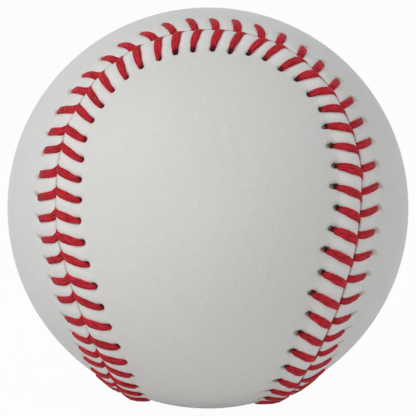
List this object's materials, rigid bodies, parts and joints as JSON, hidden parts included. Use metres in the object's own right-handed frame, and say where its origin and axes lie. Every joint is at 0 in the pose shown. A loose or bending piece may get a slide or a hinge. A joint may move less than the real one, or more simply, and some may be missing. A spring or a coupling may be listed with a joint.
{
  "type": "baseball",
  "caption": "White leather ball with a raised red-stitched figure-of-eight seam over yarn windings and a cork and rubber pill.",
  "frame": {"origin": "centre of the ball", "axes": "+Z through the waist of the back half of the cover, -Z through the waist of the front half, -Y out of the middle of the front lobe that the picture shows, +X to its right"},
  "size_m": [0.0728, 0.0728, 0.0728],
  "materials": {
    "cork": "matte granulated cork",
    "black_rubber": "matte moulded rubber",
    "red_rubber": "matte moulded rubber",
    "grey_wool": "wound wool yarn",
    "white_wool": "wound wool yarn",
    "dark_grey_wool": "wound wool yarn",
    "finishing_yarn": "fine wound yarn",
    "rubber_cement": "tacky film",
    "white_leather": "smooth grained, low sheen",
    "red_thread": "waxed ply thread"
  },
  "bodies": {
    "root": {"cork_core": "cork", "inner_rubber_upper": "black_rubber", "inner_rubber_lower": "black_rubber", "rubber_washer": "red_rubber", "outer_rubber_left": "red_rubber", "outer_rubber_right": "red_rubber", "wool_winding_first": "grey_wool", "wool_winding_second": "white_wool", "wool_winding_third": "dark_grey_wool", "finishing_winding": "finishing_yarn", "cement_film": "rubber_cement", "cover_front": "white_leather", "cover_back": "white_leather", "stitches_front": "red_thread", "stitches_back": "red_thread"}
  },
  "joints": []
}
